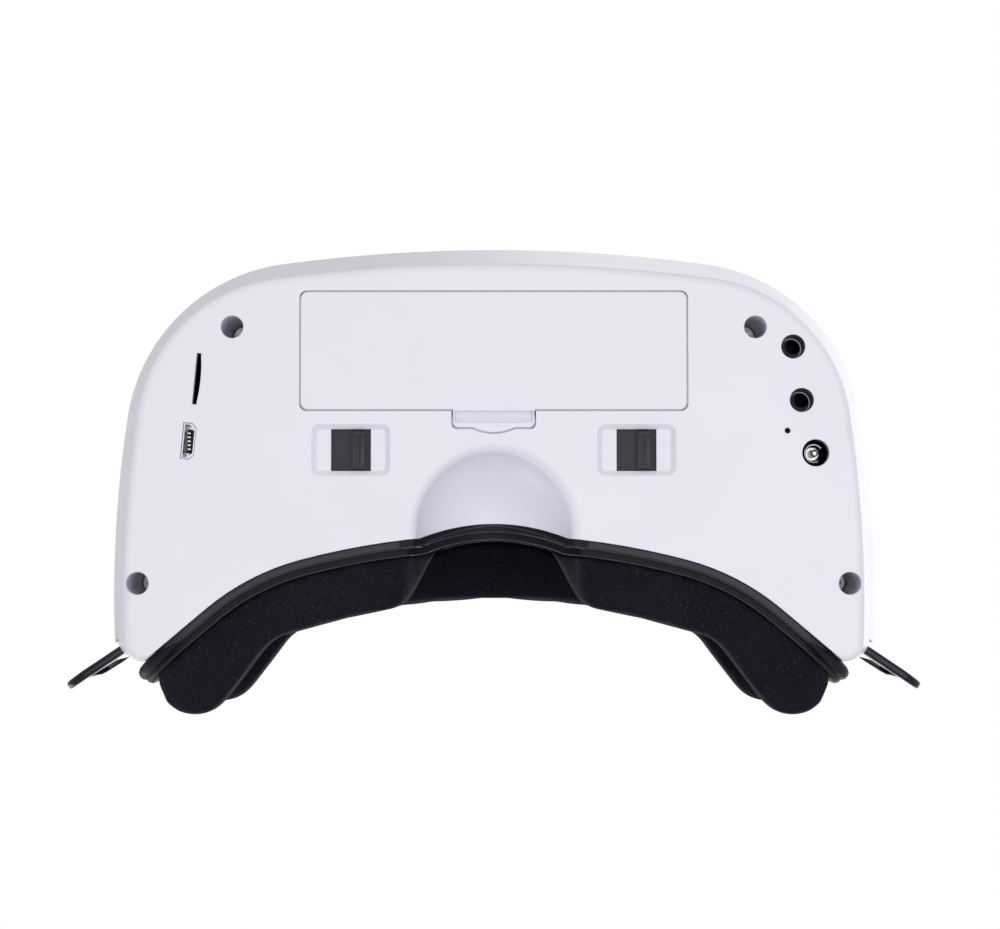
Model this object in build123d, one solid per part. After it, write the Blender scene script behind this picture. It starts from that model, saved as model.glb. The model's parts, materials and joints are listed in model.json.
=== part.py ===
"""Binocular goggles for flying a model aircraft, worn on the face with a head strap.

+Z is up as worn, the underside lies at z = 0, the front looks along -Y and the
face foam points along +Y. The wearer's left is +X. All sizes are in millimetres.
"""
from build123d import *
import os
from math import asin, atan2, cos, degrees, hypot, radians, sin, sqrt, tan

os.makedirs("parts", exist_ok=True)

# --- case -------------------------------------------------------------------
case_height = 82.0        # underside to top
case_half_width = 96.6    # at the parting line, half way up
case_front_y = -58.7      # foremost point, at the parting line
case_rear_y = 44.6        # rear walls beside the face opening
rear_wall_round = 4.5     # their corners, seen from above
rear_overrun = 3.0        # the leaning form runs this far past them before it is cut
case_widest_y = 28.0      # where the sides are furthest apart
case_lean = 8.49          # how far the walls lean in towards the top and the underside
wall = 2.2
front_radius = 400.0      # plan radius of the front
corner_radius = 46.0      # plan radius of the front corners
side_radius = 300.0       # plan radius of the sides
rear_corner_radius = 9.0
edge_round = 2.0          # rounding of the underside's and the top's rim
parting_bevel = 0.35      # bevel that makes the line between the two halves

# --- face curve, nose and foam ------------------------------------------------
face_y = 14.4             # the face curve's middle, without its bow over the nose
brow_radius = 180.0       # plan radius of the face curve in front of the eyes
brow_half_width = 46.0    # where the brow's radius runs into the temple's
temple_radius = 58.0      # plan radius beside the temples
temple_turn = 40.0        # degrees, where the temple runs out straight
bow_y = 11.6              # the bow over the nose stands this far forward
bow_radius = 45.6         # its plan radius
nose_radius = 18.5        # the nose recess, round about the Y axis
nose_depth = 19.3         # from its middle to its tip
nose_middle_y = 14.0
nose_edge_round = 2.6     # rounding of the recess's edge in the underside
frame_half_width = 85.5
frame_margin = 0.8        # the frame's rim above the underside
frame_corner_radius = 14.0
frame_ring = 9.0          # width of the frame's ring
frame_rim_depth = 2.0     # first step of the frame, next to the case
frame_step_depth = 1.8    # second step
frame_step_inset = 1.6
plate_inset = 5.5         # eyepiece plate inside the frame's outer edge
plate_thickness = 2.4
plate_gap = 0.1           # between the plate and the case's walls
foam_inset = 1.0          # foam inside the frame's outer edge
foam_width = 15.0
foam_brow_y = 31.1        # rear of the foam at the forehead
foam_brow_radius = 157.0
foam_knee_x = 53.2        # where the forehead pad runs into the temple lobe
foam_lobe = (71.8, 48.9)  # middle of the temple lobe
foam_lobe_radius = 9.8
foam_lobe_turns = (145.0, 5.0)  # degrees, where the lobe's round edge starts and ends
foam_side_y = 43.0        # the foam's own side starts here
nose_gap_front = 11.0     # half-width of the foam's gap at the frame
nose_gap_rear = 22.4      # half-width of the gap where the foam ends

# --- battery ------------------------------------------------------------------
door_length = 92.8
door_width = 28.8
door_y = -29.5
door_corner = 1.8
door_gap = 0.35
door_thickness = 2.0
door_recess = 0.1         # how far the door lies inside the case's underside
latch_width = 20.1
latch_reach = 4.3
latch_corner = 1.4
finger_radius = 11.4      # round finger rest at the rear of the latch
finger_reach = 1.15
latch_lip = 1.6           # solid lip behind the latch's scoop
latch_depth = 1.3
hook_x = 30.0
hook_width = 8.0
hook_reach = 2.0
hook_thickness = 1.2
bay_wall = 1.5
battery_lift = 0.9        # the battery above the bay's floor
battery_play = 0.3        # above the battery
bay_flange = 1.8
battery_length = 84.0
battery_width = 23.0
battery_height = 17.0

# --- optics ---------------------------------------------------------------------
eye_x = 34.1              # half of the distance between the two pocket windows
eye_above_middle = 3.0    # the eyes above the parting line
knob_rest = 1.75          # both knobs stand this far towards +X in their windows
knob_y = -5.8
window_length = 9.5
window_width = 10.0
pocket_length = 18.8
pocket_width = 12.3
pocket_depth = 1.2
pocket_slope = 45.0
rib_length = 8.7
rib_width = 3.1
rib_bottom = 0.6
barrel_radius = 18.0
barrel_wall = 1.5
barrel_front_y = -8.0
barrel_rear_y = 17.0
lens_seat = 5.9           # the lens's seat inside the barrel's rear
lens_edge = 2.0
lens_bulge = 3.2
cover_y = 6.0             # dust cover round the barrel
cover_width = 48.0
cover_height = 43.0
housing_width = 36.0
housing_height = 34.0
housing_front_y = -30.0
panel_width = 30.0
panel_height = 22.0
rod_radius = 1.5
rod_half_length = 64.0
rod_above_eye = 22.5
rod_ys = (-24.0, -2.0)
rod_clearance = 0.05
lug_width = 12.0
lug_depth = 7.0
lug_roof = 3.0            # above the rod's middle

# --- screws ---------------------------------------------------------------------
well_places = [(62.5, -35.2), (84.8, 26.0)]
well_radius = 2.7
well_wall = 1.2
well_depth = 30.0
screw_ledge = 2.5
screw_head_radius = 2.5
screw_head_height = 2.4
screw_radius = 1.2
screw_bite = 14.0
boss_radius = 3.6

# --- ports ----------------------------------------------------------------------
side_tilt = -5.3          # degrees, the card slot and USB port lean outwards to the rear
card_place = (-70.9, -22.8)
card_slot = (12.3, 1.1)
card_scoop = 0.4          # shallow bow along the slot's inner side, for a fingernail
card_socket_height = 14.0
usb_place = (-72.8, -7.9)
usb_opening = (8.7, 3.2)
usb_corner = 1.1          # cut off both corners of the inner side
usb_tongue = (5.6, 0.8)
usb_height = 7.6
av_places = {"av_jack_front": (71.5, -30.5), "av_jack_rear": (73.5, -17.7)}
av_ring_radius = 2.775
av_bore_radius = 1.8
av_depth = 12.5
av_mouth_radius = 2.3     # shallow step round the bore's mouth
av_mouth_depth = 0.8
pinhole_place = (70.1, -10.4)
pinhole_radius = 0.7
dc_place = (76.8, -5.1)
dc_hole_radius = 3.25
dc_pin_radius = 0.9
dc_pin_start = 2.4        # the pin's tip above the underside
dc_collar_radius = 1.65   # thick foot of the pin, deep in the socket
dc_collar_height = 4.0
dc_depth = 10.0
port_board_z = 13.6
right_board_posts = [(-80.0, -8.0), (-66.0, -7.0)]
left_board_posts = [(69.0, -23.5), (69.0, -3.0)]
board_post_radius = 1.8
board_thickness = 1.6

# --- head strap loops -------------------------------------------------------------
strap_inset = (9.8, 8.0)  # the pivot inside the case's widest and rearmost points
strap_angle = 34.0        # degrees rearwards from straight sideways
strap_reach = 24.6        # pivot to tip
strap_offset = 2.0        # the plate's middle behind the pivot
strap_thickness = 2.4
strap_height = 34.0
strap_slot_start = 11.0
strap_slot_length = 8.5
strap_slot_height = 26.0
strap_swing = 8.0         # degrees each way
strap_pin_radius = 1.5
strap_knuckle_radius = 3.2
strap_knuckle_gap = 0.4
strap_passage_extra = 4.0 # how far the hollow runs past the slot's start
strap_corner = 6.0        # rounding of the tip, seen from the side
strap_slot_corner = 3.0
strap_clearance = 0.06
strap_end_gap = 0.5       # above and below a loop
strap_side_gap = 0.5      # beside a loop at the end of its swing
strap_pin_bite = 6.8      # how far the pins reach into the case's posts

# --- top: board, buttons, switch, antenna sockets ----------------------------------
main_board_drop = 10.0    # the board's underside below the top
main_board_size = (110.0, 50.0)
main_board_y = -19.0
main_board_post_x = 45.0
main_board_posts = [-41.0, 1.0]
control_y = -34.0
button_radii = {
    "channel_down_button": 3.2, "menu_button": 4.4, "channel_up_button": 3.2, "record_button": 3.2,
}
button_places = {
    "channel_down_button": 18.0, "menu_button": 29.0, "channel_up_button": 40.0, "record_button": 52.0,
}
button_travel = 0.8
button_proud = 1.0
control_recess = 0.8
control_recess_width = 15.0
switch_x = -40.0
switch_travel = 4.0
switch_recess_size = (10.0, 9.0)
switch_knob = (3.8, 3.0)
antenna_place = (70.5, -20.0)
antenna_radius = 3.175
antenna_length = 6.8
nut_height = 2.2
nut_radius = 4.6

# --- worked-out places ---------------------------------------------------------------
mid_z = case_height / 2
case_draft = degrees(atan2(case_lean, mid_z))
leaning_rear_y = case_rear_y + case_lean + rear_overrun
roof_z = case_height - wall
eye_z = mid_z + eye_above_middle
rod_z = eye_z + rod_above_eye
main_board_z = case_height - main_board_drop
strap_pivot = (case_half_width - strap_inset[0], case_rear_y - strap_inset[1])
seat_gap = 0.05           # between two pieces that lie against each other
right_board_z = usb_height + 0.4
bay_floor_z = wall + 0.1
battery_z = bay_floor_z + battery_lift
bay_top = battery_z + battery_height + battery_play + bay_wall
hook_z = wall + seat_gap
press_gap = 0.02          # round a pin or rod that is pressed in
slide_play = 0.25         # between sliding plates
pin_hole_radius = strap_pin_radius + press_gap
pin_low = mid_z - strap_height / 2 - strap_pin_bite
pin_high = mid_z + strap_height / 2 + strap_pin_bite
far = 150.0


def write(name, shape):
    """Write one sub-part as its own STEP file."""
    export_step(shape, f"parts/{name}.step")
    print(name, round(shape.volume, 1))


def block(x0, x1, y0, y1, z0, z1):
    """A box between two corners."""
    return Pos((x0 + x1) / 2, (y0 + y1) / 2, (z0 + z1) / 2) * Box(x1 - x0, y1 - y0, z1 - z0)


def post(x, y, radius, z0, z1):
    """An upright cylinder."""
    return Pos(x, y, (z0 + z1) / 2) * Cylinder(radius, z1 - z0)


def prism(outline, z0, z1):
    """An upright prism on a plan outline."""
    return Pos(0, 0, z0) * extrude(outline, z1 - z0, dir=(0, 0, 1))


def cross_bar(x, y, z, radius, length):
    """A lying cylinder along X."""
    return Pos(x, y, z) * Rot(0, 90, 0) * Cylinder(radius, length)


def arc(centre, radius, start, end):
    """A circular arc between two directions, in degrees."""
    points = [
        (centre[0] + radius * cos(radians(a)), centre[1] + radius * sin(radians(a)))
        for a in (start, (start + end) / 2, end)
    ]
    return ThreePointArc(*points).edge()


def direction(start, end):
    """The direction from one plan point to another, in degrees."""
    return degrees(atan2(end[1] - start[1], end[0] - start[0]))


def case_plan(inset=0.0):
    """The case's outline at the parting line: four tangent arcs a side and a straight rear."""
    front = (0.0, case_front_y + front_radius)
    side = (case_half_width - side_radius, case_widest_y)
    span = hypot(side[0] - front[0], side[1] - front[1])
    to_front, to_side = front_radius - corner_radius, side_radius - corner_radius
    along = (to_front**2 - to_side**2 + span**2) / (2 * span)
    across = sqrt(to_front**2 - along**2)
    ux, uy = (side[0] - front[0]) / span, (side[1] - front[1]) / span
    corner = (front[0] + along * ux - across * uy, front[1] + along * uy + across * ux)
    rear_centre_y = leaning_rear_y - rear_corner_radius
    rear_span = side_radius - rear_corner_radius
    rear = (side[0] + sqrt(rear_span**2 - (rear_centre_y - side[1])**2), rear_centre_y)
    a_front, a_corner, a_side = direction(front, corner), direction(side, corner), direction(side, rear)
    flank = [
        arc(corner, corner_radius - inset, a_front, a_corner),
        arc(side, side_radius - inset, a_corner, a_side),
        arc(rear, rear_corner_radius - inset, a_side, 90),
    ]
    rear_y = leaning_rear_y - inset
    edges = [arc(front, front_radius - inset, -180 - a_front, a_front)]
    edges += flank + [edge.mirror(Plane.YZ) for edge in flank]
    edges.append(Line((-rear[0], rear_y), (rear[0], rear_y)).edge())
    return Face(Wire(edges))


def case_half(inset):
    """The upper half of the case's form: it leans in towards the top, apart from its rear wall."""
    outline = Pos(0, 0, mid_z) * case_plan(inset)
    form = Part() + extrude(outline, amount=mid_z - inset, taper=case_draft)
    form &= block(-far, far, -far, case_rear_y - inset, 0, case_height)
    rear_wall = form.faces().sort_by(Axis.Y)[-1]
    corners = rear_wall.edges().filter_by(Axis.X, reverse=True)
    return fillet(corners, rear_wall_round - inset)


def below(shape):
    """The same shape mirrored under the parting line."""
    return mirror(shape, Plane.XY.offset(mid_z))


def behind_face(offset):
    """Everything behind the face curve, moved back by an offset."""
    turn = degrees(asin(brow_half_width / brow_radius))
    brow = (0.0, face_y + brow_radius)
    temple = (
        (brow_radius - temple_radius) * sin(radians(turn)),
        brow[1] - (brow_radius - temple_radius) * cos(radians(turn)),
    )
    side = arc(temple, temple_radius - offset, -90 + turn, -90 + temple_turn)
    start = side @ 1
    end = (far, start.Y + (far - start.X) * tan(radians(temple_turn)))
    flank = [side, Line((start.X, start.Y), end).edge(), Line(end, (far, 2 * far)).edge()]
    edges = [arc(brow, brow_radius - offset, -90 - turn, -90 + turn)]
    edges += flank + [edge.mirror(Plane.YZ) for edge in flank]
    edges.append(Line((-far, 2 * far), (far, 2 * far)).edge())
    bow = post(0, bow_y + bow_radius, bow_radius - offset, -far, far)
    return prism(Face(Wire(edges)), -far, far) + bow


def face_layer(front, rear):
    """A curved layer that follows the face, between two offsets."""
    return behind_face(front) - behind_face(rear)


def face_outline(inset):
    """The face opening seen from behind, with its arch over the nose, as a long bar."""
    width = 2 * (frame_half_width - inset)
    height = case_height - 2 * (frame_margin + inset)
    corner = max(frame_corner_radius - inset, 5.0)
    outline = Pos(0, mid_z) * RectangleRounded(width, height, corner)
    outline -= Circle(nose_radius + frame_margin + inset)
    return extrude(Plane.XZ * outline, amount=far, both=True)


def nose_form(margin):
    """The nose recess: an ellipsoid round about the Y axis."""
    depth, radius = nose_depth + margin, nose_radius + margin
    curve = EllipticalCenterArc((nose_middle_y, 0), depth, radius, start_angle=0, arc_size=180)
    half = Plane.YZ * Face(Wire([curve.edge(), Line(curve @ 1, curve @ 0).edge()]))
    return revolve(half, Axis((0, nose_middle_y, 0), (0, 1, 0)), 360)


def door_outline(gap):
    """The battery door with its latch tab."""
    door = Pos(0, door_y) * RectangleRounded(door_length - 2 * gap, door_width - 2 * gap, door_corner)
    rear = door_y + door_width / 2
    tab_length = 2 * latch_reach
    tab = Pos(0, rear) * RectangleRounded(latch_width - 2 * gap, tab_length - 2 * gap, latch_corner)
    finger_y = rear + latch_reach + finger_reach - finger_radius
    return door + tab + Pos(0, finger_y) * Circle(finger_radius - gap)


def tilted_slot(place, size, angle=side_tilt):
    """A rectangle along the case's side, leaning with it."""
    return Pos(*place) * Rot(0, 0, -angle) * Rectangle(size[1], size[0])


def card_mouth():
    """The card slot with its bowed inner side."""
    half, edge = card_slot[0] / 2 - 0.6, card_slot[1] / 2
    bow = ThreePointArc((edge, -half), (edge + card_scoop, 0), (edge, half))
    scoop = Face(Wire([bow.edge(), Line((edge, half), (edge, -half)).edge()]))
    return tilted_slot(card_place, card_slot) + Pos(*card_place) * Rot(0, 0, -side_tilt) * scoop


def usb_outline(inset):
    """The USB mouth, with both corners of its inner side cut off."""
    half, edge = usb_opening[0] / 2 - inset, usb_opening[1] / 2 - inset
    upper = [(edge - usb_corner, half), (-edge, half)]
    lower = [(-edge, -half), (edge - usb_corner, -half)]
    mouth = Polygon(*lower, (edge, usb_corner - half), (edge, half - usb_corner), *upper, align=None)
    return Pos(*usb_place) * Rot(0, 0, -side_tilt) * mouth


def strap_frame(side):
    """The plane whose X runs from the strap's pivot to its tip."""
    angle = strap_angle if side > 0 else 180 - strap_angle
    return Pos(side * strap_pivot[0], strap_pivot[1], mid_z) * Rot(0, 0, angle)


def strap_passage(side):
    """The hollow that a strap loop swings in."""
    width = strap_thickness + 2 * strap_side_gap
    height = strap_height + 2 * strap_end_gap
    arm_length = strap_slot_start + strap_passage_extra
    passage = Cylinder(strap_knuckle_radius + strap_knuckle_gap, height)
    for turn in (-strap_swing, 0, strap_swing):
        arm = Box(arm_length, width, height)
        arm = Pos(arm_length / 2, side * strap_offset, 0) * arm
        passage += Rot(0, 0, turn) * arm
    return strap_frame(side) * passage


def screw_places():
    return [(side * x, y) for x, y in well_places for side in (-1, 1)]


def make_lower_shell():
    outer = below(case_half(0))
    outer = fillet(outer.edges().group_by(Axis.Z)[0], edge_round)
    rim = outer.edges().group_by(Axis.Z)[-1]
    outer = chamfer(rim, parting_bevel)
    shell = outer - below(case_half(wall))
    shell += nose_form(wall) & outer
    shell -= nose_form(0)
    underside = shell.edges().group_by(Axis.Z)[0]
    shell = fillet(underside.filter_by(GeomType.BSPLINE), nose_edge_round)
    for x, y in screw_places():
        shell += post(x, y, well_radius + well_wall, 0, well_depth + screw_ledge) & outer
    for side in (-1, 1):
        boss_top = mid_z - strap_height / 2 - strap_end_gap
        shell += post(side * strap_pivot[0], strap_pivot[1], boss_radius, 0, boss_top) & outer
    for x, y in right_board_posts:
        shell += post(x, y, board_post_radius, wall / 2, right_board_z)
    for x, y in left_board_posts:
        shell += post(x, y, board_post_radius, wall / 2, port_board_z)
    shell -= behind_face(0)
    for x, y in screw_places():
        shell -= post(x, y, well_radius, -1, well_depth)
        shell -= post(x, y, screw_radius + 0.3, -1, case_height / 2)
    shell -= prism(door_outline(0), -1, wall + 1)
    for side in (-1, 1):
        middle = Pos(side * eye_x, knob_y)
        shell -= prism(middle * Rectangle(window_length, window_width), -1, wall + 1)
        mouth = middle * RectangleRounded(pocket_length, pocket_width, 2.0)
        shell -= extrude(mouth, amount=pocket_depth, taper=pocket_slope)
        shell -= post(side * strap_pivot[0], strap_pivot[1], pin_hole_radius, pin_low - 0.2, case_height)
        shell -= strap_passage(side)
    shell -= prism(card_mouth(), -1, wall + 1)
    shell -= prism(usb_outline(0), -1, wall + 1)
    for x, y in av_places.values():
        shell -= post(x, y, av_ring_radius + 0.1, -1, wall + 1)
    shell -= post(*pinhole_place, pinhole_radius, -1, wall + 1)
    shell -= post(*dc_place, dc_hole_radius, -1, wall + 1)
    write("lower_shell", shell)


def control_hole_list():
    """Plan places and radii of the round holes in the roof."""
    holes = [(button_places[name], control_y, button_radii[name] + 0.25) for name in button_radii]
    return holes + [(side * antenna_place[0], antenna_place[1], antenna_radius + 0.1) for side in (-1, 1)]


def make_upper_shell():
    outer = case_half(0)
    outer = fillet(outer.edges().group_by(Axis.Z)[-1], edge_round)
    rim = outer.edges().group_by(Axis.Z)[0]
    outer = chamfer(rim, parting_bevel)
    shell = outer - case_half(wall)
    boss_low = well_depth + screw_ledge + 0.5
    for x, y in screw_places():
        shell += post(x, y, boss_radius, boss_low, case_height) & outer
        shell += post(x, y, boss_radius, boss_low, mid_z + 1)
    for side in (-1, 1):
        boss_z = mid_z + strap_height / 2 + strap_end_gap
        shell += post(side * strap_pivot[0], strap_pivot[1], boss_radius, boss_z, case_height) & outer
        bracket_x = side * (rod_half_length - 2)
        shell += block(bracket_x - 2, bracket_x + 2, rod_ys[0] - 4, rod_ys[1] + 4, rod_z - 3.5, roof_z + 1)
        for y in main_board_posts:
            shell += post(side * main_board_post_x, y, 2.5, main_board_z + board_thickness, roof_z + 1)
    shell -= behind_face(0)
    for side in (-1, 1):
        shell -= post(side * strap_pivot[0], strap_pivot[1], pin_hole_radius, 0, pin_high + 0.2)
        shell -= strap_passage(side)
    for x, y in screw_places():
        shell -= post(x, y, screw_radius + 0.05, 0, well_depth + screw_ledge + screw_bite + 2)
    for y in rod_ys:
        shell -= cross_bar(0, y, rod_z, rod_radius + press_gap, 2 * rod_half_length + 1)
    middle_x = (min(button_places.values()) + max(button_places.values())) / 2
    length = max(button_places.values()) - min(button_places.values())
    recess = Pos(middle_x, control_y) * SlotCenterToCenter(length, control_recess_width)
    shell -= prism(recess, case_height - control_recess, case_height + 1)
    switch_recess = Pos(switch_x, control_y) * SlotCenterToCenter(*switch_recess_size)
    shell -= prism(switch_recess, case_height - control_recess, case_height + 1)
    opening = Pos(switch_x, control_y) * Rectangle(switch_travel + switch_knob[0] + 1, switch_knob[1] + 0.6)
    shell -= prism(opening, roof_z - 1, case_height + 1)
    for x, y, radius in control_hole_list():
        shell -= post(x, y, radius, roof_z - 1, case_height + 1)
    write("upper_shell", shell)


def make_battery_door():
    top = door_recess + door_thickness
    door = prism(door_outline(door_gap), door_recess, top)
    latch_y = door_y + door_width / 2
    lip_y = latch_y + latch_reach - latch_lip
    scoop = Polygon(
        (latch_y, -1), (latch_y, latch_depth), (lip_y - 1.2, latch_depth - 0.2), (lip_y, 0.5), (lip_y, -1),
        align=None,
    )
    door -= extrude(Plane.YZ * scoop, amount=latch_width / 2 - 0.8, both=True)
    front = door_y - door_width / 2
    for side in (-1, 1):
        x0, x1 = side * hook_x - hook_width / 2, side * hook_x + hook_width / 2
        door += block(x0, x1, front + door_gap, front + 1.4, top - 0.5, hook_z)
        door += block(x0, x1, front - hook_reach, front + 1.4, hook_z, hook_z + hook_thickness)
    write("battery_door", door)


def make_battery_bay():
    half_length = door_length / 2 - 0.4
    y0, y1 = door_y - door_width / 2 + 0.2, door_y + door_width / 2 - 0.2
    bay = block(-half_length, half_length, y0, y1, bay_floor_z, bay_top)
    flange_end = half_length + bay_flange
    flange = block(-flange_end, flange_end, y0 - bay_flange, y1 + bay_flange, bay_floor_z, bay_floor_z + 1.2)
    bay += flange & below(case_half(wall + seat_gap))
    inner_end = half_length - bay_wall
    bay -= block(-inner_end, inner_end, y0 + bay_wall, y1 - bay_wall, 0, bay_top - bay_wall)
    for side in (-1, 1):
        reach = hook_width / 2 + 0.6
        bay -= block(side * hook_x - reach, side * hook_x + reach, y0 - 3, y0 + 3.4, 0, 6.5)
    tab = latch_width / 2 + 0.5
    bay -= block(-tab, tab, y1 + 0.1, y1 + 8, 0, bay_floor_z + 2)
    write("battery_bay", bay)
    half = battery_length / 2
    middle = door_y + 0.3
    y0, y1 = middle - battery_width / 2, middle + battery_width / 2
    pack = block(-half, half, y0, y1, battery_z, battery_z + battery_height)
    write("battery_pack", fillet(pack.edges(), 2.0))
    contact_end = half_length - bay_wall - seat_gap
    contacts = Part()
    for y in (middle - 5, middle + 5):
        contacts += block(-contact_end, -half - 0.1, y - 1.5, y + 1.5, 8, 14)
    write("battery_contacts", contacts)


def make_screws():
    screws = Part()
    for x, y in screw_places():
        head_top = well_depth - seat_gap
        screw = post(x, y, screw_head_radius, head_top - screw_head_height, head_top)
        screw += post(x, y, screw_radius, well_depth - 1, well_depth + screw_ledge + screw_bite)
        slot_z = well_depth - screw_head_height - 1
        screw -= block(x - 1.6, x + 1.6, y - 0.35, y + 0.35, slot_z, slot_z + 2)
        screw -= block(x - 0.35, x + 0.35, y - 1.6, y + 1.6, slot_z, slot_z + 2)
        screws += screw
    write("case_screws", screws)


def make_face():
    ring = face_outline(0) - face_outline(frame_ring)
    frame = ring & face_layer(seat_gap, frame_rim_depth)
    step = face_outline(frame_step_inset) - face_outline(frame_ring)
    frame += step & face_layer(frame_rim_depth, frame_rim_depth + frame_step_depth)
    write("face_frame", frame)

    room = case_half(wall + plate_gap)
    plate = face_outline(plate_inset) & face_layer(-plate_thickness, -seat_gap) & (room + below(room))
    travel = window_length - rib_width
    for side in (-1, 1):
        slot = Pos(side * eye_x, eye_z) * SlotCenterToCenter(travel, 2 * barrel_radius + 2)
        plate -= extrude(Plane.XZ * slot, amount=far, both=True)
    write("eyepiece_plate", plate)

    brow_centre = foam_brow_y + foam_brow_radius
    knee_turn = degrees(asin(foam_knee_x / foam_brow_radius))
    lobe = arc(foam_lobe, foam_lobe_radius, *foam_lobe_turns)
    brow = arc((0, brow_centre), foam_brow_radius, -90 - knee_turn, -90 + knee_turn)
    knee = Line(brow @ 1, lobe @ 0).edge()
    outer_x = frame_half_width - foam_inset
    side = Line(lobe @ 1, (outer_x, foam_side_y)).edge()
    down = Line(side @ 1, (outer_x, 0)).edge()
    flank = [knee, lobe, side, down]
    edges = [brow] + flank + [edge.mirror(Plane.YZ) for edge in flank]
    edges.append(Line((-outer_x, 0), (outer_x, 0)).edge())
    plan = prism(Face(Wire(edges)), 0, case_height)
    foam = plan & behind_face(frame_rim_depth + frame_step_depth + seat_gap)
    foam &= face_outline(foam_inset) - face_outline(foam_inset + foam_width)
    front = bow_y + frame_rim_depth
    rear = foam_brow_y + 4
    gap = Polygon(
        (-nose_gap_front, front), (nose_gap_front, front), (nose_gap_rear, rear), (-nose_gap_rear, rear),
        align=None,
    )
    foam -= prism(gap, -1, mid_z)
    write("face_foam", foam)


def make_optics():
    for side, name in ((-1, "right"), (1, "left")):
        x = side * eye_x + knob_rest
        plate_z = wall + slide_play
        reach_x = window_length - rib_width / 2 + 0.8
        half_y = window_width / 2 + 0.7
        knob = block(x - reach_x, x + reach_x, knob_y - half_y, knob_y + half_y, plate_z, plate_z + 1.6)
        knob += block(
            x - rib_width / 2, x + rib_width / 2, knob_y - rib_length / 2, knob_y + rib_length / 2,
            rib_bottom, plate_z + 0.5,
        )
        stem_top = eye_z - barrel_radius - seat_gap
        knob += block(x - 3, x + 3, knob_y - 2, knob_y + 4, plate_z + 1, stem_top)
        write(f"{name}_ipd_slider", knob)

        barrel = Plane(origin=(x, 0, eye_z), z_dir=(0, 1, 0))
        length = barrel_rear_y - barrel_front_y
        tube_middle = (barrel_rear_y + barrel_front_y) / 2
        tube = barrel * Pos(0, 0, tube_middle) * Cylinder(barrel_radius, length)
        z0, z1 = eye_z - cover_height / 2, eye_z + cover_height / 2
        tube += block(x - cover_width / 2, x + cover_width / 2, cover_y, cover_y + 1.2, z0, z1)
        lug_x0, lug_x1 = x - lug_width / 2, x + lug_width / 2
        lug_top = rod_z + lug_roof
        tube += block(lug_x0, lug_x1, rod_ys[1] - lug_depth / 2, rod_ys[1] + lug_depth / 2, eye_z, lug_top)
        inner = barrel_radius - barrel_wall
        tube -= barrel * Pos(0, 0, tube_middle) * Cylinder(inner, length + 2)
        seat = Cylinder(inner + 0.3, 1.2) - Cylinder(inner - 1, 2)
        tube += barrel * Pos(0, 0, barrel_rear_y - lens_seat) * seat
        tube -= cross_bar(x, rod_ys[1], rod_z, rod_radius + rod_clearance, lug_width + 2)
        write(f"{name}_lens_barrel", tube)

        lens_radius = inner - 0.1
        sphere_radius = (lens_radius**2 + lens_bulge**2) / (2 * lens_bulge)
        lens_y = barrel_rear_y - lens_seat + 1.2 + lens_edge / 2
        lens = barrel * Pos(0, 0, lens_y) * Cylinder(lens_radius, lens_edge + 2 * lens_bulge)
        back = lens_y + lens_edge / 2 + lens_bulge - sphere_radius
        front = lens_y - lens_edge / 2 - lens_bulge + sphere_radius
        lens &= Pos(x, back, eye_z) * Sphere(sphere_radius)
        lens &= Pos(x, front, eye_z) * Sphere(sphere_radius)
        write(f"{name}_eye_lens", lens)

        half_width, half_height = housing_width / 2, housing_height / 2
        rear = barrel_front_y - seat_gap
        housing = block(
            x - half_width, x + half_width, housing_front_y, rear,
            eye_z - half_height, eye_z + half_height,
        )
        housing -= block(
            x - half_width + barrel_wall, x + half_width - barrel_wall,
            housing_front_y + barrel_wall, rear - barrel_wall,
            eye_z - half_height + barrel_wall, eye_z + half_height - barrel_wall,
        )
        housing -= barrel * Pos(0, 0, rear) * Cylinder(inner - 1, 10)
        y0, y1 = rod_ys[0] - lug_depth / 2, rod_ys[0] + lug_depth / 2
        housing += block(lug_x0, lug_x1, y0, y1, eye_z + half_height - 1, lug_top)
        housing -= cross_bar(x, rod_ys[0], rod_z, rod_radius + rod_clearance, lug_width + 2)
        write(f"{name}_display_housing", housing)

        panel_y = housing_front_y + barrel_wall + seat_gap
        panel = block(
            x - panel_width / 2, x + panel_width / 2, panel_y, panel_y + 1.8,
            eye_z - panel_height / 2, eye_z + panel_height / 2,
        )
        write(f"{name}_display", panel)
    rods = Part()
    for y in rod_ys:
        rods += cross_bar(0, y, rod_z, rod_radius, 2 * rod_half_length)
    write("guide_rods", rods)


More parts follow.
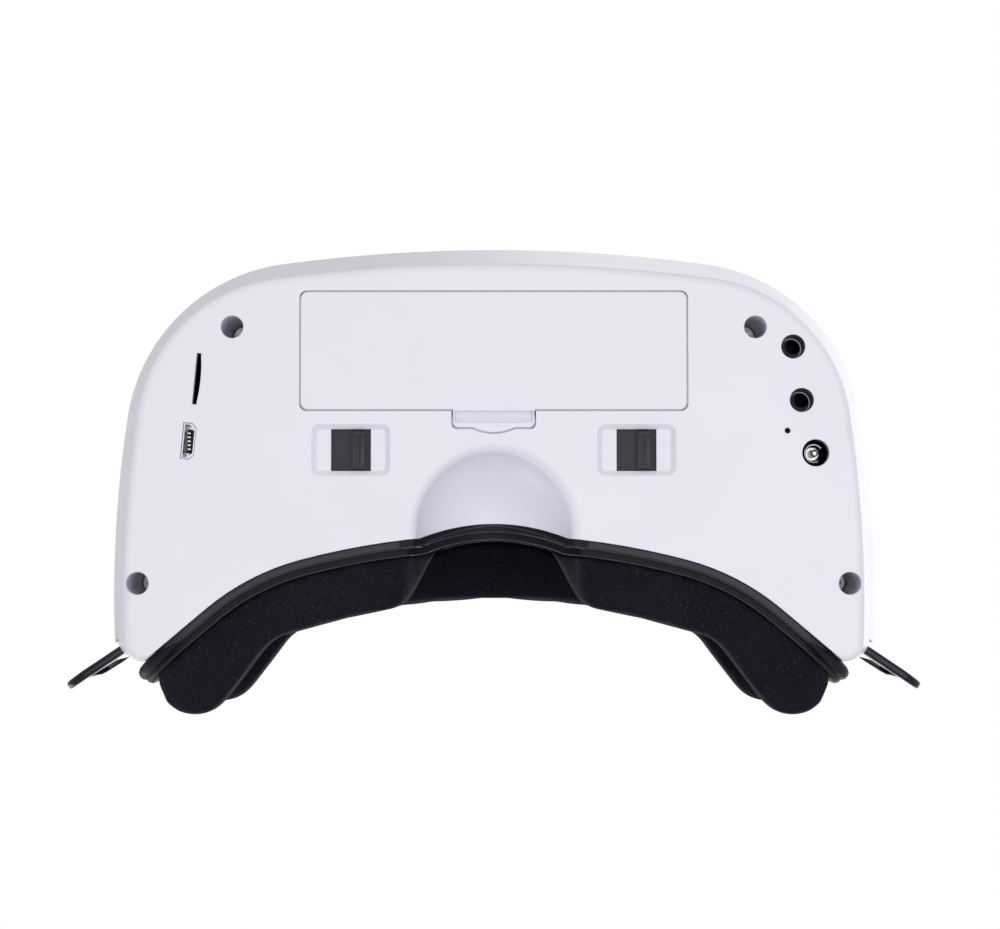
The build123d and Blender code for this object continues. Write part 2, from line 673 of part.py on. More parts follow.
def make_ports():
    outline = tilted_slot(card_place, (card_slot[0] + 2.4, card_slot[1] + 2.4))
    socket = prism(outline, wall + seat_gap, wall + card_socket_height)
    socket -= prism(tilted_slot(card_place, card_slot), 0, wall + card_socket_height - 1)
    write("microsd_socket", socket)

    usb_roof = usb_height - 0.6
    usb = prism(usb_outline(0.1), 0.3, usb_height)
    usb -= prism(usb_outline(0.45), 0, usb_roof)
    write("micro_usb_shell", usb)
    tongue = prism(tilted_slot(usb_place, usb_tongue), 1.2, usb_roof - seat_gap)
    write("micro_usb_tongue", tongue)
    board_z = right_board_z + seat_gap
    board = block(-83, -64, -15, 1, board_z, board_z + board_thickness)
    write("right_port_board", board)

    for name, (x, y) in av_places.items():
        jack = post(x, y, av_ring_radius, 0.1, wall + 1)
        near, wide = av_ring_radius, 4.0
        jack += block(x - wide, x + near, y - near, y + wide, wall + seat_gap, port_board_z - seat_gap)
        jack -= post(x, y, av_bore_radius, -1, av_depth + 0.1)
        jack -= post(x, y, av_mouth_radius, -1, av_mouth_depth + 0.1)
        write(name, jack)

    x, y = dc_place
    jack = block(x - 4.5, x + 4.5, y - 4.2, y + 4.6, wall + seat_gap, port_board_z - seat_gap)
    jack -= post(x, y, dc_hole_radius - 0.1, 0, wall + dc_depth)
    write("dc_jack", jack)
    foot = wall + dc_depth - seat_gap
    pin = post(x, y, dc_pin_radius, dc_pin_start, foot)
    pin = fillet(pin.edges().group_by(Axis.Z)[0], dc_pin_radius * 0.8)
    pin += post(x, y, dc_collar_radius, foot - dc_collar_height, foot)
    write("dc_jack_pin", pin)

    board = block(67, 76.5, -34, 1, port_board_z, port_board_z + board_thickness)
    x, y = pinhole_place
    board += block(x - 2.2, x + 2.2, y - 2.2, y + 2.2, port_board_z - 5, port_board_z)
    write("left_port_board", board)
    write("pairing_button", post(x, y, 1.5, 3.6, port_board_z - 5.5))


def make_straps():
    pins = Part()
    for side, name in ((-1, "right"), (1, "left")):
        frame = strap_frame(side)
        middle_y = side * strap_offset
        plate = Pos(strap_reach / 2, middle_y, 0) * Box(strap_reach, strap_thickness, strap_height)
        corners = plate.edges().filter_by(Axis.Y).group_by(Axis.X)[-1]
        plate = fillet(corners, strap_corner)
        slot_middle = strap_slot_start + strap_slot_length / 2
        slot_depth = 3 * strap_thickness
        slot = Pos(slot_middle, middle_y, 0) * Box(strap_slot_length, slot_depth, strap_slot_height)
        slot = fillet(slot.edges().filter_by(Axis.Y), strap_slot_corner)
        loop = plate - slot
        loop += Cylinder(strap_knuckle_radius, strap_height)
        loop -= Cylinder(strap_pin_radius + strap_clearance, strap_height + 2)
        write(f"{name}_strap_loop", frame * loop)
        pins += post(side * strap_pivot[0], strap_pivot[1], strap_pin_radius, pin_low, pin_high)
    write("strap_pins", pins)


def make_top():
    length, width = main_board_size
    y0, y1 = main_board_y - width / 2, main_board_y + width / 2
    board_top = main_board_z + board_thickness
    board = block(-length / 2, length / 2, y0, y1, main_board_z, board_top - seat_gap)
    switch_top = board_top + 2.0
    for x in button_places.values():
        board += block(x - 3, x + 3, control_y - 3, control_y + 3, main_board_z + 1, switch_top)
    board += block(switch_x - 6, switch_x + 6, control_y - 3, control_y + 3, main_board_z + 1, switch_top)
    write("main_board", board)
    receiver = block(-34, 8, -26, -2, board_top, board_top + 4.5)
    write("receiver_module", fillet(receiver.edges().filter_by(Axis.Z), 1.0))

    flange_top = roof_z - 0.2
    stem_bottom = switch_top + button_travel + 0.1
    for name, x in button_places.items():
        radius = button_radii[name]
        cap = post(x, control_y, radius, flange_top - 0.5, case_height - control_recess + button_proud)
        top_edges = cap.edges().group_by(Axis.Z)[-1]
        cap = fillet(top_edges, 0.5)
        cap += post(x, control_y, radius + 1, flange_top - 1, flange_top)
        cap += post(x, control_y, 1.6, stem_bottom, flange_top)
        write(name, cap)

    knob_x = switch_x - switch_travel / 2
    half_x, half_y = switch_knob[0] / 2, switch_knob[1] / 2
    y0, y1 = control_y - half_y, control_y + half_y
    knob = block(knob_x - half_x, knob_x + half_x, y0, y1, flange_top - 0.5, case_height + 0.2)
    for step in (-1, 0, 1):
        groove_x = knob_x + step
        knob -= block(groove_x - 0.25, groove_x + 0.25, y0 - 1, y1 + 1, case_height - 0.2, case_height + 1)
    knob += block(knob_x - 6, knob_x + 6, control_y - 3, control_y + 3, flange_top - 1, flange_top)
    knob += block(knob_x - 1.5, knob_x + 1.5, y0, y1, switch_top + 0.2, flange_top)
    write("power_switch", knob)

    x, y = antenna_place
    nut = extrude(RegularPolygon(nut_radius, 6), nut_height)
    for side, name in ((-1, "right"), (1, "left")):
        socket = post(side * x, y, antenna_radius, roof_z - 4, case_height + nut_height + antenna_length)
        socket += Pos(side * x, y, case_height + seat_gap) * nut
        socket += post(side * x, y, antenna_radius + 1.2, roof_z - 2, roof_z - seat_gap)
        top = case_height + nut_height + antenna_length
        socket -= post(side * x, y, antenna_radius - 1.0, top - 3.5, top + 1)
        socket += post(side * x, y, 0.9, top - 4, top - 1)
        write(f"{name}_antenna_socket", socket)


make_lower_shell()
make_upper_shell()
make_battery_door()
make_battery_bay()
make_screws()
make_face()
make_optics()
make_ports()
make_straps()
make_top()
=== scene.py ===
# %% [markdown]
# Goggles for flying a model aircraft, seen from below. This lesson builds their
# looks around a fixed frame that comes from the CAD model. The frame gives every
# place and size, so no piece here needs measuring again. The frame's axes are the
# ones used below: +X is the wearer's left, -Y the front, +Z up, all in metres.

import json
import math

import bmesh
import bpy
import numpy as np
from mathutils import Matrix, Vector


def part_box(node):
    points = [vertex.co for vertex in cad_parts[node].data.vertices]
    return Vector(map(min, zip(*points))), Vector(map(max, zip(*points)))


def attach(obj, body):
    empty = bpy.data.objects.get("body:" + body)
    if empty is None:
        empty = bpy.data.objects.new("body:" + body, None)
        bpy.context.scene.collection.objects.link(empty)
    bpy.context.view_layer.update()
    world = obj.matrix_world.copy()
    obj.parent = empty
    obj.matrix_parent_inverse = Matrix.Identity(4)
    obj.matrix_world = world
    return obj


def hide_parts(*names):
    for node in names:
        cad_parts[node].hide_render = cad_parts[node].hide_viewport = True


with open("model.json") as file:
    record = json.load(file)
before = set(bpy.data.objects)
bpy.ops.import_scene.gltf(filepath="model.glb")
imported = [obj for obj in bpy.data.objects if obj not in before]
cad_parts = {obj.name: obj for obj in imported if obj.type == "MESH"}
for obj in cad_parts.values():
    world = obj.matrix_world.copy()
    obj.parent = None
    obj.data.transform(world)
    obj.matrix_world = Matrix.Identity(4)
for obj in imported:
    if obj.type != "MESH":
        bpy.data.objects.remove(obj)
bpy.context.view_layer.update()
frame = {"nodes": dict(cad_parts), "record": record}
print("frame of", len(frame["nodes"]), "nodes")

# %% [markdown]
# The camera lies under the goggles and looks straight up, a hand's breadth more
# than half a metre away. That keeps the perspective of a table-top picture: the
# underside is a little larger than the wider middle of the case behind it.

# %% Camera
MM = 0.001
camera = bpy.data.objects.new("camera", bpy.data.cameras.new("camera"))
bpy.context.scene.collection.objects.link(camera)
camera.data.lens = 90.7
camera.data.sensor_width = 36.0
camera.data.clip_start = 0.01
camera.location = (0.0015, 0.0204, -0.600)
camera_aim = Vector((0.0015, -0.0023, 0.0))
view_line = (camera_aim - camera.location).normalized()
right = view_line.cross(Vector((0, -1, 0))).normalized()
up = right.cross(view_line)
camera.rotation_euler = Matrix((right, up, -view_line)).transposed().to_euler()
bpy.context.scene.camera = camera
print("camera looks along", [round(v, 3) for v in view_line])

# %% [markdown]
# A pale floor carries the goggles when they are seen from above or from the side.
# From below it would hide them, so its material lets camera rays through that
# come from under it, and all rays that carry light, so that the lamps below
# reach the goggles. Only the camera sees it, and only from above.

# %% Floor
def link(obj):
    bpy.context.scene.collection.objects.link(obj)
    return obj


floor_bm = bmesh.new()
bmesh.ops.create_grid(floor_bm, x_segments=1, y_segments=1, size=3.0)
bmesh.ops.translate(floor_bm, verts=floor_bm.verts, vec=(0, 0, -0.5 * MM))
floor_mesh = bpy.data.meshes.new("floor")
floor_bm.to_mesh(floor_mesh)
floor_bm.free()
floor = link(bpy.data.objects.new("floor", floor_mesh))
floor_mat = bpy.data.materials.new("pale_floor")
floor_mat.use_nodes = True
tree = floor_mat.node_tree
floor_shader = tree.nodes["Principled BSDF"]
floor_shader.inputs["Base Color"].default_value = (0.86, 0.86, 0.87, 1)
floor_shader.inputs["Roughness"].default_value = 0.75
clear = tree.nodes.new("ShaderNodeBsdfTransparent")
mix = tree.nodes.new("ShaderNodeMixShader")
rays = tree.nodes.new("ShaderNodeLightPath")
side = tree.nodes.new("ShaderNodeNewGeometry")
hide = tree.nodes.new("ShaderNodeMath")
hide.operation = "MAXIMUM"
not_camera = tree.nodes.new("ShaderNodeMath")
not_camera.operation = "SUBTRACT"
not_camera.inputs[0].default_value = 1.0
tree.links.new(rays.outputs["Is Camera Ray"], not_camera.inputs[1])
tree.links.new(side.outputs["Backfacing"], hide.inputs[0])
tree.links.new(not_camera.outputs[0], hide.inputs[1])
tree.links.new(hide.outputs[0], mix.inputs["Fac"])
tree.links.new(floor_shader.outputs["BSDF"], mix.inputs[1])
tree.links.new(clear.outputs["BSDF"], mix.inputs[2])
tree.links.new(mix.outputs["Shader"], tree.nodes["Material Output"].inputs["Surface"])
floor_mesh.materials.append(floor_mat)
print("floor ready")

# %% [markdown]
# Soft light comes from large lamps, as in a light tent. Two lie below, because the
# underside is what the camera sees first. The stronger one stands almost under the
# goggles, so the sloping sides come out a little darker than the flat underside.
# The other three light the top for every other view. The sky is white where the
# camera sees it and dimmer as a lamp.

# %% Lights and sky
def softbox(name, place, size, power):
    """A square area lamp at a place, turned to the goggles."""
    lamp = bpy.data.lights.new(name, "AREA")
    lamp.size = size
    lamp.energy = power
    obj = link(bpy.data.objects.new(name, lamp))
    obj.location = place
    obj.rotation_euler = (-Vector(place)).to_track_quat("-Z", "Y").to_euler()
    return obj


softbox("lamp_below", (0.25, 0.15, -1.3), 1.2, 7.2)
softbox("lamp_below_front", (-0.5, -0.9, -0.8), 0.8, 1.5)
softbox("lamp_top", (0.3, 0.2, 1.5), 1.4, 7.5)
softbox("lamp_top_left", (1.2, -0.6, 0.9), 1.0, 4.5)
softbox("lamp_top_rear", (-0.9, 1.1, 0.8), 1.0, 6.0)
world = bpy.data.worlds.new("sky")
bpy.context.scene.world = world
world.use_nodes = True
tree = world.node_tree
sky_lamp = tree.nodes["Background"]
sky_lamp.inputs["Color"].default_value = (1, 1, 1, 1)
sky_lamp.inputs["Strength"].default_value = 0.62
sky_seen = tree.nodes.new("ShaderNodeBackground")
sky_seen.inputs["Color"].default_value = (1, 1, 1, 1)
sky_seen.inputs["Strength"].default_value = 1.0
sky_mix = tree.nodes.new("ShaderNodeMixShader")
sky_rays = tree.nodes.new("ShaderNodeLightPath")
tree.links.new(sky_rays.outputs["Is Camera Ray"], sky_mix.inputs["Fac"])
tree.links.new(sky_lamp.outputs["Background"], sky_mix.inputs[1])
tree.links.new(sky_seen.outputs["Background"], sky_mix.inputs[2])
tree.links.new(sky_mix.outputs["Shader"], tree.nodes["World Output"].inputs["Surface"])
bpy.context.scene.view_settings.view_transform = "Standard"
print("lamps and sky ready")

# %% [markdown]
# Moulded plastic never has knife-sharp edges and never one even colour. One group
# of nodes gives both to every material: it rounds the edges in the shading, adds
# a fine grain, and puts out a mask of the edges, where each finish paints a
# highlight, and a slow mottle to vary colour and roughness with. A Bevel node does
# the rounding, so the CAD mesh stays as is.

# %% Group: moulded surface
def group_with(name, inputs, outputs):
    """A shader node group with named sockets, and its two end nodes."""
    group = bpy.data.node_groups.new(name, "ShaderNodeTree")
    for label, value in inputs:
        socket = group.interface.new_socket(name=label, in_out="INPUT", socket_type="NodeSocketFloat")
        socket.default_value = value
    for label, kind in outputs:
        group.interface.new_socket(name=label, in_out="OUTPUT", socket_type=kind)
    return group, group.nodes.new("NodeGroupInput"), group.nodes.new("NodeGroupOutput")


def math_node(tree, operation, a, b, clamp=False):
    """A Math node on two sockets or numbers, and its output."""
    node = tree.nodes.new("ShaderNodeMath")
    node.operation = operation
    node.use_clamp = clamp
    for socket, value in zip(node.inputs, (a, b)):
        if isinstance(value, (int, float)):
            socket.default_value = value
        else:
            tree.links.new(value, socket)
    return node.outputs[0]


moulded, start, end = group_with(
    "moulded_surface",
    [("Edge Radius", 0.3 * MM), ("Grain Scale", 2500.0), ("Grain Depth", 0.02), ("Mottle Scale", 60.0)],
    [("Normal", "NodeSocketVector"), ("Edge", "NodeSocketFloat"), ("Mottle", "NodeSocketFloat")],
)
place = moulded.nodes.new("ShaderNodeTexCoord")
round_edge = moulded.nodes.new("ShaderNodeBevel")
round_edge.samples = 4
moulded.links.new(start.outputs["Edge Radius"], round_edge.inputs["Radius"])
grain = moulded.nodes.new("ShaderNodeTexNoise")
grain.inputs["Detail"].default_value = 2.0
moulded.links.new(place.outputs["Object"], grain.inputs["Vector"])
moulded.links.new(start.outputs["Grain Scale"], grain.inputs["Scale"])
bump = moulded.nodes.new("ShaderNodeBump")
bump.inputs["Distance"].default_value = 0.2 * MM
moulded.links.new(grain.outputs["Fac"], bump.inputs["Height"])
moulded.links.new(start.outputs["Grain Depth"], bump.inputs["Strength"])
moulded.links.new(round_edge.outputs["Normal"], bump.inputs["Normal"])
moulded.links.new(bump.outputs["Normal"], end.inputs["Normal"])
# This edge mask sets where each finish paints its edge highlight.
surface = moulded.nodes.new("ShaderNodeNewGeometry")
dot = moulded.nodes.new("ShaderNodeVectorMath")
dot.operation = "DOT_PRODUCT"
moulded.links.new(surface.outputs["Normal"], dot.inputs[0])
moulded.links.new(round_edge.outputs["Normal"], dot.inputs[1])
bend = math_node(moulded, "SUBTRACT", 1.0, dot.outputs["Value"])
moulded.links.new(math_node(moulded, "MULTIPLY", bend, 4.0, clamp=True), end.inputs["Edge"])
mottle = moulded.nodes.new("ShaderNodeTexNoise")
mottle.inputs["Detail"].default_value = 3.0
moulded.links.new(place.outputs["Object"], mottle.inputs["Vector"])
moulded.links.new(start.outputs["Mottle Scale"], mottle.inputs["Scale"])
moulded.links.new(mottle.outputs["Fac"], end.inputs["Mottle"])
print("group", moulded.name, "with", len(moulded.nodes), "nodes")

# %% [markdown]
# Every hard finish here is the same recipe with other numbers: two close base
# colours mixed by the mottle, a third, lighter one painted on the edges as a
# highlight, and a roughness that follows the mottle too. So one function makes
# them all, and the numbers say which plastic or metal it is.

# %% A maker for hard finishes
def hard_finish(name, colour, other, edge, rough=(0.3, 0.4), metal=0.0, coat=0.0,
                grain=(2500.0, 0.02), mottle=60.0, radius=0.3 * MM, edge_highlight_share=0.6, shine=0.5):
    """A plastic or metal with rounded edges, a painted edge highlight, a fine grain and a slow mottle."""
    mat = bpy.data.materials.new(name)
    mat.use_nodes = True
    tree = mat.node_tree
    shader = tree.nodes["Principled BSDF"]
    look = tree.nodes.new("ShaderNodeGroup")
    look.node_tree = moulded
    look.inputs["Edge Radius"].default_value = radius
    look.inputs["Grain Scale"].default_value = grain[0]
    look.inputs["Grain Depth"].default_value = grain[1]
    look.inputs["Mottle Scale"].default_value = mottle
    base = tree.nodes.new("ShaderNodeMix")
    base.data_type = "RGBA"
    base.inputs["A"].default_value = (*colour, 1)
    base.inputs["B"].default_value = (*other, 1)
    tree.links.new(look.outputs["Mottle"], base.inputs["Factor"])
    # Painted highlight: the lighter edge colour is mixed in along the edges by the mask.
    rim = tree.nodes.new("ShaderNodeMix")
    rim.data_type = "RGBA"
    rim.inputs["B"].default_value = (*edge, 1)
    tree.links.new(base.outputs["Result"], rim.inputs["A"])
    tree.links.new(math_node(tree, "MULTIPLY", look.outputs["Edge"], edge_highlight_share), rim.inputs["Factor"])
    tree.links.new(rim.outputs["Result"], shader.inputs["Base Color"])
    span = tree.nodes.new("ShaderNodeMapRange")
    span.inputs["To Min"].default_value = rough[0]
    span.inputs["To Max"].default_value = rough[1]
    tree.links.new(look.outputs["Mottle"], span.inputs["Value"])
    tree.links.new(span.outputs["Result"], shader.inputs["Roughness"])
    tree.links.new(look.outputs["Normal"], shader.inputs["Normal"])
    shader.inputs["Metallic"].default_value = metal
    shader.inputs["Coat Weight"].default_value = coat
    shader.inputs["Coat Roughness"].default_value = 0.15
    shader.inputs["Specular IOR Level"].default_value = shine
    return mat


print("hard_finish is ready")

# %% [markdown]
# The case is a satin white moulding with a touch of lilac. The black pieces are a
# blue-grey black, each with its own sheen: the face frame is smoother than the
# sliders. The metals differ in colour and in how far they are polished.

# %% Finishes of the hard pieces
# The third colour of each finish is its painted edge highlight.
finish = {
    "white_shell": hard_finish("white_shell", (0.79, 0.78, 0.88), (0.75, 0.745, 0.84), (0.88, 0.87, 0.93),
                               rough=(0.34, 0.46), coat=0.12, grain=(3000.0, 0.03), mottle=35.0,
                               radius=0.35 * MM, edge_highlight_share=0.5),
    "black_plastic": hard_finish("black_plastic", (0.010, 0.010, 0.014), (0.016, 0.016, 0.022),
                                 (0.05, 0.05, 0.065), rough=(0.36, 0.5), grain=(2200.0, 0.08), shine=0.1),
    "grey_plastic": hard_finish("grey_plastic", (0.10, 0.10, 0.11), (0.13, 0.13, 0.14), (0.2, 0.2, 0.21),
                                rough=(0.4, 0.55), grain=(1800.0, 0.06)),
    "black_chrome": hard_finish("black_chrome", (0.02, 0.02, 0.026), (0.03, 0.03, 0.036), (0.5, 0.5, 0.53),
                                rough=(0.14, 0.24), metal=0.85, grain=(900.0, 0.02), edge_highlight_share=0.9),
    "steel": hard_finish("steel", (0.55, 0.55, 0.57), (0.66, 0.66, 0.68), (0.85, 0.85, 0.86),
                         rough=(0.22, 0.36), metal=1.0, grain=(1500.0, 0.05)),
    "brass": hard_finish("brass", (0.74, 0.56, 0.25), (0.82, 0.64, 0.32), (0.95, 0.82, 0.5),
                         rough=(0.2, 0.32), metal=1.0, grain=(1500.0, 0.04)),
    "button_rubber": hard_finish("button_rubber", (0.022, 0.022, 0.026), (0.03, 0.03, 0.034),
                                 (0.07, 0.07, 0.08), rough=(0.6, 0.75), grain=(1600.0, 0.15)),
    "battery_wrap": hard_finish("battery_wrap", (0.02, 0.05, 0.22), (0.03, 0.07, 0.28), (0.2, 0.25, 0.4),
                                rough=(0.25, 0.4), coat=0.4, grain=(300.0, 0.1)),
}
print("finishes:", ", ".join(sorted(finish)))

# %% [markdown]
# The lenses are clear glass with a slightly dished look from their own shape. The
# little screens behind them are black and glossy while they are off. A circuit
# board is green solder mask with a lattice of tracks under it, made here from
# cells and lines.

# %% Glass, screen and circuit board
glass = bpy.data.materials.new("lens_glass")
glass.use_nodes = True
tree = glass.node_tree
shader = tree.nodes["Principled BSDF"]
shader.inputs["Base Color"].default_value = (0.93, 0.96, 1.0, 1)
shader.inputs["Transmission Weight"].default_value = 1.0
shader.inputs["IOR"].default_value = 1.49
shader.inputs["Coat Weight"].default_value = 0.6
shader.inputs["Coat Tint"].default_value = (0.75, 0.8, 1.0, 1)
smear = tree.nodes.new("ShaderNodeTexNoise")
smear.inputs["Scale"].default_value = 90.0
coord = tree.nodes.new("ShaderNodeTexCoord")
tree.links.new(coord.outputs["Object"], smear.inputs["Vector"])
span = tree.nodes.new("ShaderNodeMapRange")
span.inputs["To Min"].default_value = 0.01
span.inputs["To Max"].default_value = 0.05
tree.links.new(smear.outputs["Fac"], span.inputs["Value"])
tree.links.new(span.outputs["Result"], shader.inputs["Roughness"])
finish["lens_glass"] = glass
finish["display_glass"] = hard_finish("display_glass", (0.006, 0.006, 0.009), (0.01, 0.01, 0.016),
                                      (0.02, 0.02, 0.03), rough=(0.04, 0.09), coat=1.0, grain=(400.0, 0.0))
board = hard_finish("circuit_board", (0.006, 0.075, 0.035), (0.01, 0.10, 0.045), (0.35, 0.33, 0.2),
                    rough=(0.25, 0.4), coat=0.3, grain=(1800.0, 0.05))
tree = board.node_tree
shader = tree.nodes["Principled BSDF"]
coord = tree.nodes.new("ShaderNodeTexCoord")
tracks = tree.nodes.new("ShaderNodeTexBrick")
tracks.inputs["Scale"].default_value = 160.0
tracks.inputs["Mortar Size"].default_value = 0.03
tracks.inputs["Color1"].default_value = (0, 0, 0, 1)
tracks.inputs["Color2"].default_value = (0, 0, 0, 1)
tracks.inputs["Mortar"].default_value = (1, 1, 1, 1)
tree.links.new(coord.outputs["Object"], tracks.inputs["Vector"])
over = tree.nodes.new("ShaderNodeMix")
over.data_type = "RGBA"
over.inputs["B"].default_value = (0.03, 0.2, 0.09, 1)
was = shader.inputs["Base Color"].links[0].from_socket
tree.links.new(was, over.inputs["A"])
tree.links.new(tracks.outputs["Color"], over.inputs["Factor"])
tree.links.new(over.outputs["Result"], shader.inputs["Base Color"])
finish["circuit_board"] = board
print("glass, screen and board ready")

# %% [markdown]
# Each CAD node takes the finish that the record names for it, so one loop
# dresses the whole frame. A few nodes get a closer finish further on.

# %% Dress the CAD nodes
def dress(obj, material):
    obj.data.materials.clear()
    obj.data.materials.append(material)


slot_of = {row["node"]: row["material_slot"] for row in frame["record"]["subparts"]}
for node, obj in frame["nodes"].items():
    if slot_of[node] in finish:
        dress(obj, finish[slot_of[node]])
print("dressed", len(slot_of), "nodes")

# %% [markdown]
# The pieces from here on are made in Blender. Each starts as a bmesh, gets its
# material, and says which CAD body it rides on. A few tools do that for all of them.

# %% Tools for pieces
SIDES = (("right", -1), ("left", 1))
UP = Vector((0, 0, 1))


def merged_copy(node):
    """A CAD node's mesh as a bmesh with its doubles merged."""
    bm = bmesh.new()
    bm.from_mesh(frame["nodes"][node].data)
    bmesh.ops.remove_doubles(bm, verts=bm.verts, dist=0.01 * MM)
    bm.normal_update()
    return bm


def piece(name, bm, body, material, smooth_angle=40.0):
    """Turns a bmesh into a finished piece that rides on a body."""
    bmesh.ops.recalc_face_normals(bm, faces=bm.faces)
    mesh = bpy.data.meshes.new(name)
    bm.to_mesh(mesh)
    bm.free()
    mesh.shade_smooth()
    mesh.set_sharp_from_angle(angle=math.radians(smooth_angle))
    obj = link(bpy.data.objects.new(name, mesh))
    dress(obj, material)
    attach(obj, body)
    print(name, "has", len(mesh.polygons), "faces")
    return obj


def apply_modifiers(obj):
    """Bakes an object's modifiers into its mesh."""
    graph = bpy.context.evaluated_depsgraph_get()
    mesh = bpy.data.meshes.new_from_object(obj.evaluated_get(graph))
    obj.modifiers.clear()
    obj.data = mesh


print("tools ready")

# %% [markdown]
# The pad against the face is foam under black fleece. Its plan has a sharp knee
# between the forehead part and the round lobe beside each temple. A block of that
# outline would look like rubber, so the block is only the start: it is remeshed
# into small even faces, shrunk a little, and blown up again as cloth under light
# pressure. The side that is glued to the frame is pinned and stays flat. A cap on
# how far a point may travel keeps the knee sharp.

# %% Foam pad
VOXEL = 2.2 * MM      # face size of the even mesh
SHRINK = 0.9 * MM     # how far it starts inside the foam's outline
GLUED = -0.5          # a normal that points this far forward belongs to the glued side
PAD_CAP = 1.7 * MM    # furthest travel of a point under pressure
SIM_FRAMES = 20


def remeshed(node, voxel, shrink):
    """An evenly remeshed copy of a CAD node's solid, shrunk apart from its glued side."""
    bm = merged_copy(node)
    mesh = bpy.data.meshes.new(node + "_start")
    bm.to_mesh(mesh)
    bm.free()
    obj = link(bpy.data.objects.new(node + "_start", mesh))
    even = obj.modifiers.new("even", "REMESH")
    even.mode = "VOXEL"
    even.voxel_size = voxel
    apply_modifiers(obj)
    bm = bmesh.new()
    bm.from_mesh(obj.data)
    for step in range(2):
        bmesh.ops.smooth_vert(bm, verts=bm.verts, factor=0.5,
                              use_axis_x=True, use_axis_y=True, use_axis_z=True)
    bm.normal_update()
    for vert in bm.verts:
        if vert.normal.y > GLUED:
            vert.co -= vert.normal * shrink
    bm.to_mesh(obj.data)
    bm.free()
    return obj


pad = remeshed("face_foam", VOXEL, SHRINK)
pad.name = "face_pad"
before = np.array([v.co for v in pad.data.vertices])
glued = [v.index for v in pad.data.vertices if v.normal.y <= GLUED]
pins = pad.vertex_groups.new(name="glued")
pins.add(glued, 1.0, "REPLACE")
cloth = pad.modifiers.new("cloth", "CLOTH")
cloth.settings.use_pressure = True
cloth.settings.uniform_pressure_force = 4.0
cloth.settings.effector_weights.gravity = 0.0
cloth.settings.vertex_group_mass = "glued"
cloth.settings.tension_stiffness = 20.0
cloth.settings.quality = 4
for step in range(1, SIM_FRAMES + 1):
    bpy.context.scene.frame_set(step)
apply_modifiers(pad)
bpy.context.scene.frame_set(1)
after = np.array([v.co for v in pad.data.vertices])
travel = after - before
length = np.maximum(np.linalg.norm(travel, axis=1), 1e-9)
after = before + travel * np.minimum(1.0, PAD_CAP / length)[:, None]
pad.data.vertices.foreach_set("co", after.ravel())
pad.vertex_groups.clear()
smooth = pad.modifiers.new("smooth", "SUBSURF")
smooth.levels = smooth.render_levels = 1
apply_modifiers(pad)
pad.data.shade_smooth()
print("pad points moved by up to", round(float(length.max()) / MM, 2), "mm, glued points:", len(glued))

# %% [markdown]
# Fleece is a felt of short fibres. From a distance it is nearly black, with fine
# lighter specks where fibre ends catch the light; these are painted highlights.
# Two noises make it: a fine one for the painted specks and the bump of the felt,
# and a slow one for patches where the pile lies another way. A little sheen lights
# its rounded edges.

# %% Fleece finish
felt, start, end = group_with(
    "felt",
    [("Fibre Scale", 1500.0), ("Speck", 0.62)],
    [("Specks", "NodeSocketFloat"), ("Nap", "NodeSocketFloat"), ("Height", "NodeSocketFloat")],
)
place = felt.nodes.new("ShaderNodeTexCoord")
fibres = felt.nodes.new("ShaderNodeTexNoise")
fibres.inputs["Detail"].default_value = 4.0
fibres.inputs["Roughness"].default_value = 0.7
felt.links.new(place.outputs["Object"], fibres.inputs["Vector"])
felt.links.new(start.outputs["Fibre Scale"], fibres.inputs["Scale"])
curls = felt.nodes.new("ShaderNodeTexVoronoi")
curls.inputs["Scale"].default_value = 1100.0
felt.links.new(place.outputs["Object"], curls.inputs["Vector"])
speck_highlight_mask = math_node(felt, "GREATER_THAN", fibres.outputs["Fac"], start.outputs["Speck"])
felt.links.new(speck_highlight_mask, end.inputs["Specks"])
nap = felt.nodes.new("ShaderNodeTexNoise")
nap.inputs["Scale"].default_value = 55.0
nap.inputs["Detail"].default_value = 3.0
felt.links.new(place.outputs["Object"], nap.inputs["Vector"])
felt.links.new(nap.outputs["Fac"], end.inputs["Nap"])
rough_curls = math_node(felt, "MULTIPLY", curls.outputs["Distance"], 0.6)
felt.links.new(math_node(felt, "ADD", fibres.outputs["Fac"], rough_curls), end.inputs["Height"])

fleece = bpy.data.materials.new("foam_fleece")
fleece.use_nodes = True
tree = fleece.node_tree
shader = tree.nodes["Principled BSDF"]
fur = tree.nodes.new("ShaderNodeGroup")
fur.node_tree = felt
pile = tree.nodes.new("ShaderNodeMix")
pile.data_type = "RGBA"
pile.inputs["A"].default_value = (0.0042, 0.0044, 0.0085, 1)
pile.inputs["B"].default_value = (0.008, 0.0085, 0.0165, 1)
tree.links.new(fur.outputs["Nap"], pile.inputs["Factor"])
# Painted highlights: a lighter colour in the specks stands in for fibre ends catching the light.
lit = tree.nodes.new("ShaderNodeMix")
lit.data_type = "RGBA"
lit.inputs["B"].default_value = (0.045, 0.045, 0.065, 1)
tree.links.new(pile.outputs["Result"], lit.inputs["A"])
tree.links.new(math_node(tree, "MULTIPLY", fur.outputs["Specks"], 0.55), lit.inputs["Factor"])
tree.links.new(lit.outputs["Result"], shader.inputs["Base Color"])
shader.inputs["Roughness"].default_value = 0.95
shader.inputs["Specular IOR Level"].default_value = 0.15
shader.inputs["Sheen Weight"].default_value = 0.06
shader.inputs["Sheen Roughness"].default_value = 0.5
shader.inputs["Sheen Tint"].default_value = (0.5, 0.5, 0.6, 1)
bump = tree.nodes.new("ShaderNodeBump")
bump.inputs["Strength"].default_value = 0.7
bump.inputs["Distance"].default_value = 0.25 * MM
tree.links.new(fur.outputs["Height"], bump.inputs["Height"])
tree.links.new(bump.outputs["Normal"], shader.inputs["Normal"])
finish["foam_fleece"] = fleece
dress(pad, fleece)
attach(pad, "case")
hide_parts("face_foam")
print("fleece ready")
